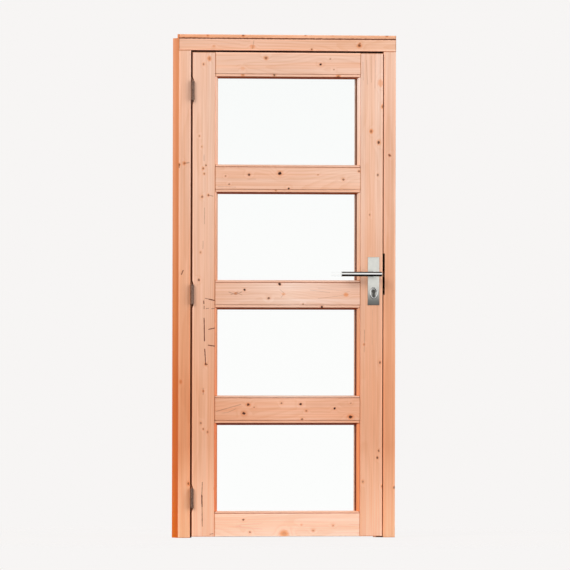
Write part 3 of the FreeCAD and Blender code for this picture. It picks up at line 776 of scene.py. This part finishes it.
# %% The glass
def clear_glass():
    material, shader, base = start_material("clear_glass")
    place = base.new("ShaderNodeTexCoord", None, None, "Object")
    plug(tint_ramp(split(base, place)[2], GLASS_TINTS), shader, "Base Color")
    shader.inputs["Transmission Weight"].default_value = 1.0
    shader.inputs["Roughness"].default_value = 0.0
    shader.inputs["IOR"].default_value = 1.45
    light = base.new("ShaderNodeLightPath", None, None, "Is Shadow Ray")
    through = base.new("ShaderNodeBsdfTransparent", None, {"Color": tone(248, 251, 250)})
    solid = Sock(base.tree, shader.outputs[0])
    mixed = base.new("ShaderNodeMixShader", None, {0: light, 1: solid, 2: through})
    output = material.node_tree.nodes["Material Output"]
    base.tree.links.new(mixed.socket, output.inputs["Surface"])
    return material


GLASS_TINTS = [
    (0.1, tone(254, 254, 253)),
    (1.2, tone(253, 253, 252)),
    (1.95, tone(250, 251, 250)),
]
glass = clear_glass()
panes = [name for name in NODES if slot_of[name] == "clear_glass"]
for name in panes:
    dress(name, glass)
print(len(panes), "panes glazed")

# %% [markdown]
# The fittings are steel. The plates and levers are brushed to a satin sheen, the hinges and the lock
# are plated with dull zinc, and the cylinder is nickel. All are fully metallic: what tells them apart
# is their tone, how rough they are and which way the fine scratches run. Polished round bars mirror the
# dark ceiling and the dark floor of a studio as two dark lines, and rim paints those lines into the
# colour of the lever, the cylinder and the collar as a painted reflection. The plates are painted darker
# towards the bottom, also a painted reflection, and the strike plate is painted near black as painted
# shade for its recess.

# %% The metals
PAINTED_RIM_SHADE = 0.05
RIM_SOFT = 0.14
RIM_SOFT_SIDE = 0.2


def metal(name, colour, rough, scratch, painted_fade=None, painted_rim=None, mottle=(60.0, 0.03)):
    """Metal with fine scratches, scratch waves a metre on each axis, and clouds by mottle.

    fade is a painted reflection, a colour that changes with height. rim paints dark reflections into the
    colour: it darkens what faces further up, down or right than its three numbers say.
    """
    material, shader, base = start_material(name)
    place = base.new("ShaderNodeTexCoord", None, None, "Object")
    marks = noise(place * scratch, 3.0, 0.6)
    waves, depth = mottle
    clouds = step(noise(place * waves, 2.0), 0.3, 0.7)
    finish = blend(marks, as_colour(0.93), as_colour(1.05))
    finish = finish * blend(clouds, as_colour(1 - depth), as_colour(1 + depth)) * colour
    # painted reflection: a colour along the height, darker towards the bottom on the plates
    if painted_fade is not None:
        parts = base.new("ShaderNodeSeparateXYZ", None, {0: place}, 2)
        finish = finish * tint_ramp(parts, painted_fade)
    if painted_rim is not None:
        face_x, face_y, face_z = split(base, base.new("ShaderNodeTexCoord", None, None, "Normal"))
        up, down, right = painted_rim
        # painted reflection: faces that look up, down or right are darkened for the dark ceiling and
        # floor
        above = step(face_z, up - RIM_SOFT, up + RIM_SOFT)
        below = step(face_z, down + RIM_SOFT, down - RIM_SOFT)
        beside = step(face_x, right - RIM_SOFT_SIDE, right + RIM_SOFT_SIDE)
        painted_rims = larger(larger(above, below), beside)
        finish = shaded(finish, painted_rims, as_colour(PAINTED_RIM_SHADE))
    plug(finish, shader, "Base Color")
    plug(rough + (marks - 0.5) * 0.12, shader, "Roughness")
    inputs = {"Strength": 0.08, "Distance": 0.0002, "Height": marks}
    plug(base.new("ShaderNodeBump", None, inputs), shader, "Normal")
    shader.inputs["Metallic"].default_value = 1.0
    return material


# painted reflection: the plates grow darker towards the bottom
PLATE_PAINTED_REFLECTION = [
    (0.968, as_colour(0.20)),
    (0.985, as_colour(0.28)),
    (1.005, as_colour(0.52)),
    (1.03, as_colour(0.88)),
    (1.055, as_colour(1.04)),
    (1.168, as_colour(1.06)),
]
# painted reflections: the lever, the cylinder and the collar darken where they face up, down or right
LEVER_PAINTED_RIM = (0.72, -0.38, 1.5)
BARREL_PAINTED_RIM = (0.3, -0.9, 0.3)
COLLAR_PAINTED_RIM = (0.45, -0.75, 0.55)
HINGE_MOTTLE = (260.0, 0.42)
EVEN = (900.0, 900.0, 900.0)
UPRIGHT = (3000.0, 3000.0, 60.0)
ALONG_LEVER = (30.0, 900.0, 900.0)
plate_steel = metal("plate_steel", tone(228, 228, 221), 0.34, UPRIGHT, PLATE_PAINTED_REFLECTION)
lever_steel = metal("lever_steel", tone(244, 244, 242), 0.07, ALONG_LEVER, None, LEVER_PAINTED_RIM)
zinc = metal("zinc", tone(168, 160, 152), 0.42, EVEN)
hinge_steel = metal("hinge_steel", tone(140, 113, 99), 0.40, (700.0,) * 3, None, None, HINGE_MOTTLE)
# painted shade: the strike plate and its screws are near black for the shadow in the strike's recess
black_steel = metal("black_steel", tone(40, 26, 18), 0.5, EVEN)
nickel = metal("nickel", tone(92, 90, 86), 0.22, EVEN, None, BARREL_PAINTED_RIM)
FINISHES = {
    "outside_plate": plate_steel,
    "inside_plate": plate_steel,
    "outside_lever": lever_steel,
    "inside_lever": lever_steel,
    "lock_cylinder": nickel,
    "strike_plate": black_steel,
}
for name in NODES:
    if slot_of[name] not in ("pine", "clear_glass"):
        dress(name, FINISHES.get(name, hinge_steel if "hinge" in name else zinc))
print(sum(slot_of[name] not in ("pine", "clear_glass") for name in NODES), "metal pieces dressed")

# %% [markdown]
# The cylinder sits in an oval collar, a small turned ring that guards it. We sweep a half-round section
# along an oval path with bmesh: one ring of points for each place on the path, joined to the next by
# faces.

# %% The collar round the cylinder
def finish_shape(name, shape, material):
    """Turn a bmesh into an object with one material."""
    mesh = bpy.data.meshes.new(name)
    shape.to_mesh(mesh)
    shape.free()
    mesh.materials.append(material)
    piece = bpy.data.objects.new(name, mesh)
    bpy.context.scene.collection.objects.link(piece)
    return piece


def swept_oval(name, centre, towards, material):
    """A half-round ring on a vertical face; towards is -1 for the front and 1 for the back."""
    half_wide, half_high, tube = 0.0150, 0.0215, 0.0032
    around, arc = 64, 8
    shape = bmesh.new()
    rings = []
    for index in range(around):
        turn = 2 * math.pi * index / around
        out = Vector((math.cos(turn) / half_wide, 0.0, math.sin(turn) / half_high)).normalized()
        foot = Vector((half_wide * math.cos(turn), 0.0, half_high * math.sin(turn))) + Vector(centre)
        ring = []
        for part in range(arc + 1):
            bend = math.pi * part / arc
            lift = Vector((0.0, towards * tube * math.sin(bend), 0.0))
            ring.append(shape.verts.new(foot + out * tube * math.cos(bend) + lift))
        rings.append(ring)
    for here, there in zip(rings, rings[1:] + rings[:1]):
        for part in range(arc + 1):
            after = (part + 1) % (arc + 1)
            face = shape.faces.new((here[part], here[after], there[after], there[part]))
            face.smooth = part < arc
    bmesh.ops.recalc_face_normals(shape, faces=shape.faces)
    return finish_shape(name, shape, material)


COLLAR_LIFT = 0.001
chrome = metal("chrome", tone(238, 238, 236), 0.09, (600.0,) * 3, None, COLLAR_PAINTED_RIM)
plate_low, plate_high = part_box("outside_plate")
inner_low, inner_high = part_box("inside_plate")
barrel_low, barrel_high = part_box("lock_cylinder")
barrel_x = (barrel_low[0] + barrel_high[0]) / 2
barrel_z = (barrel_low[2] + barrel_high[2]) / 2 + COLLAR_LIFT
for side, face_y, towards in (("outside", plate_low[1], -1), ("inside", inner_high[1], 1)):
    collar = swept_oval(f"{side}_collar", (barrel_x, face_y, barrel_z), towards, chrome)
    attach(collar, "leaf")
print("two collars")

# %% [markdown]
# Screws hold the hinges, the forend, the strike and the inside plate. Each is a countersunk head with a
# cross recess, turned as a low dome and set so that it stands a fraction of a millimetre proud of its
# plate.

# %% One screw
SMALL_HEAD = 0.0038
HEAD = 0.0042
RECESS = 0.30
FLOOR_OF_RECESS = -0.0002
CROSS_ARM = 0.62
CROSS_CORNER = 0.16
DOME = ((RECESS, FLOOR_OF_RECESS), (0.55, 0.00035), (0.85, 0.0003), (1.0, 0.0))


def screw(name, place, facing, radius, body, material):
    """A low domed head with a cross recess at a place on a face that looks along facing."""
    around = 24
    shape = bmesh.new()
    hub = shape.verts.new((0.0, 0.0, FLOOR_OF_RECESS))
    rings = []
    for reach, lift in DOME:
        ring = []
        for index in range(around):
            turn = 2 * math.pi * index / around
            spread = reach
            if reach == RECESS:
                spread = CROSS_ARM if index % 6 == 0 else CROSS_CORNER
            x, y = radius * spread * math.cos(turn), radius * spread * math.sin(turn)
            ring.append(shape.verts.new((x, y, lift)))
        rings.append(ring)
    for index in range(around):
        after = (index + 1) % around
        shape.faces.new((hub, rings[0][index], rings[0][after]))
        for inner, outer in zip(rings, rings[1:]):
            shape.faces.new((inner[index], outer[index], outer[after], inner[after]))
    shape.faces.new(list(reversed(rings[-1])))
    bmesh.ops.recalc_face_normals(shape, faces=shape.faces)
    shape.transform(Vector(facing).to_track_quat("Z", "Y").to_matrix().to_4x4())
    bmesh.ops.translate(shape, verts=shape.verts, vec=Vector(place))
    piece = finish_shape(name, shape, material)
    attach(piece, body)


print("a screw head has", len(DOME), "rings")

# %% [markdown]
# Each hinge leaf takes three screws, the forend, the strike and the inside plate two each. All their
# places come from the boxes of the pieces that they hold.

# %% Set the screws
HINGE_SCREWS = ((0.16, -0.034), (0.5, -0.040), (0.84, -0.034))
PLATE_INSET = 0.010
STRIKE_INSET = 0.012

for hinge in ("bottom", "middle", "top"):
    for kind, body, towards in (("jamb", "frame", 1), ("door", "leaf", -1)):
        low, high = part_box(f"{hinge}_hinge_{kind}_leaf")
        face_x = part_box("hinge_jamb")[1][0] if kind == "jamb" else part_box("hinge_stile")[0][0]
        for number, (share, y) in enumerate(HINGE_SCREWS):
            place = (face_x, y, low[2] + share * (high[2] - low[2]))
            label = f"{hinge}_{kind}_screw_{number}"
            screw(label, place, (towards, 0, 0), SMALL_HEAD, body, zinc)
latch_low, latch_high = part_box("latch_bolt")
middle_y = (latch_low[1] + latch_high[1]) / 2
forend_low, forend_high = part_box("lock_case")
for number, z in enumerate((forend_low[2] + PLATE_INSET, forend_high[2] - PLATE_INSET)):
    place = (forend_high[0], middle_y, z)
    screw(f"forend_screw_{number}", place, (1, 0, 0), HEAD, "leaf", zinc)
strike_low, strike_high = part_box("strike_plate")
for number, z in enumerate((strike_low[2] + STRIKE_INSET, strike_high[2] - STRIKE_INSET)):
    place = (strike_low[0], middle_y, z)
    # the strike screws share the painted shade of the near black strike plate
    screw(f"strike_screw_{number}", place, (-1, 0, 0), HEAD, "frame", black_steel)
for number, z in enumerate((inner_low[2] + PLATE_INSET, inner_high[2] - PLATE_INSET)):
    place = ((inner_low[0] + inner_high[0]) / 2, inner_high[1], z)
    screw(f"plate_screw_{number}", place, (0, 1, 0), HEAD, "leaf", plate_steel)

# %% [markdown]
# Planed wood and pressed steel never have perfectly sharp corners. A Bevel modifier rounds each sharp
# edge of the wooden pieces by a fraction of a millimetre, which catches a thin line of light, and it
# leaves the model's own mesh alone.

# %% Soften the edges
EASED = 0.0006


def soften(node):
    """Round a node's sharp edges a little."""
    bevel = NODES[node].modifiers.new("soft_edges", "BEVEL")
    bevel.width = EASED
    bevel.segments = 2
    bevel.limit_method = "ANGLE"
    bevel.angle_limit = math.radians(35)
    bevel.harden_normals = False


for name in wooden:
    soften(name)
print("edges softened on", len(wooden), "pieces")

# %% [markdown]
# The floor only grounds the door, so it is a pale disc that melts into the background. Its own colour
# is dark, and a glow that only the camera sees, also through glass, makes up the rest: both give the
# white of the background, and where the door takes the light away the floor stays a little darker.

# %% The floor
def make_floor(radius):
    material, shader, base = start_material("floor")
    shader.inputs["Base Color"].default_value = as_colour(0.07)
    shader.inputs["Roughness"].default_value = 1.0
    shader.inputs["Specular IOR Level"].default_value = 0.0
    shader.inputs["Emission Strength"].default_value = 1.0
    light = base.new("ShaderNodeLightPath")
    seen = Sock(base.tree, light.socket.node.outputs["Is Camera Ray"])
    through = Sock(base.tree, light.socket.node.outputs["Is Transmission Ray"])
    plug(blend(larger(seen, through), as_colour(0.0), FLOOR_GLOW), shader, "Emission Color")
    place = base.new("ShaderNodeTexCoord", None, None, "Object")
    far = step(work("LENGTH", place), radius * 0.35, radius * 0.95)
    clear = base.new("ShaderNodeBsdfTransparent")
    solid = Sock(base.tree, shader.outputs[0])
    mixed = base.new("ShaderNodeMixShader", None, {0: far, 1: solid, 2: clear})
    base.tree.links.new(mixed.socket, material.node_tree.nodes["Material Output"].inputs["Surface"])
    shape = bmesh.new()
    bmesh.ops.create_circle(shape, cap_ends=True, radius=radius, segments=96)
    floor = finish_shape("floor", shape, material)
    floor.location = FLOOR_PLACE


FLOOR_GLOW = (0.860, 0.840, 0.830, 1.0)
FLOOR_PLACE = (0.47, 0.0, -0.0005)
make_floor(3.0)
print("floor laid")

# %% [markdown]
# Light in a plain studio comes from everywhere, with one softer source a little stronger than the rest.
# The world gives the light from everywhere; metal mirrors a bright room with a dark ceiling and floor.
# Wide suns give it a direction: the stronger from the upper left, so that edges that face left and up
# catch it, a softer one from the right, and one for the back.

# %% World and lamps
def make_world():
    world = bpy.data.worlds.new("studio")
    world.use_nodes = True
    tree = world.node_tree
    tree.nodes.clear()
    base = Sock(tree)
    light = base.new("ShaderNodeLightPath")
    seen = Sock(tree, light.socket.node.outputs["Is Camera Ray"])
    through = Sock(tree, light.socket.node.outputs["Is Transmission Ray"])
    mirrored = Sock(tree, light.socket.node.outputs["Is Glossy Ray"])
    place = base.new("ShaderNodeTexCoord", None, None, "Generated")
    height = base.new("ShaderNodeSeparateXYZ", None, {0: place}, 2)
    share = height * 0.5 + 0.5
    mirror = [
        (0.0, as_colour(0.05)),
        (0.33, as_colour(0.02)),
        (0.385, as_colour(0.20)),
        (0.42, as_colour(1.0)),
        (0.86, as_colour(1.0)),
        (0.90, as_colour(0.06)),
        (1.0, as_colour(0.03)),
    ]
    soft = [
        (0.0, as_colour(0.30)),
        (0.44, as_colour(0.46)),
        (0.56, as_colour(0.60)),
        (1.0, as_colour(0.62)),
    ]
    studio = share.new("ShaderNodeValToRGB", {"stops": mirror}, {0: share})
    ambient = share.new("ShaderNodeValToRGB", {"stops": soft}, {0: share})
    colour = blend(mirrored, ambient, studio)
    colour = blend(through, colour, tone(253, 254, 254))
    colour = blend(seen, colour, tone(247, 245, 244))
    ground = base.new("ShaderNodeBackground", None, {"Color": colour, "Strength": 1.0})
    output = tree.nodes.new("ShaderNodeOutputWorld")
    tree.links.new(ground.socket, output.inputs["Surface"])
    bpy.context.scene.world = world


def make_sun(name, towards, strength, spread):
    lamp = bpy.data.lights.new(name, "SUN")
    lamp.energy = strength
    lamp.angle = math.radians(spread)
    sun = bpy.data.objects.new(name, lamp)
    sun.rotation_mode = "QUATERNION"
    sun.rotation_quaternion = Vector(towards).to_track_quat("Z", "Y")
    sun.visible_glossy = False
    sun.visible_transmission = False
    bpy.context.scene.collection.objects.link(sun)


make_world()
make_sun("key", (-0.62, -0.62, 0.48), 1.5, 25)
make_sun("fill", (0.60, -0.70, 0.20), 1.12, 60)
make_sun("back", (0.30, 0.90, 0.30), 1.1, 60)
bpy.context.scene.view_settings.view_transform = "Standard"
print("world and three suns are up")
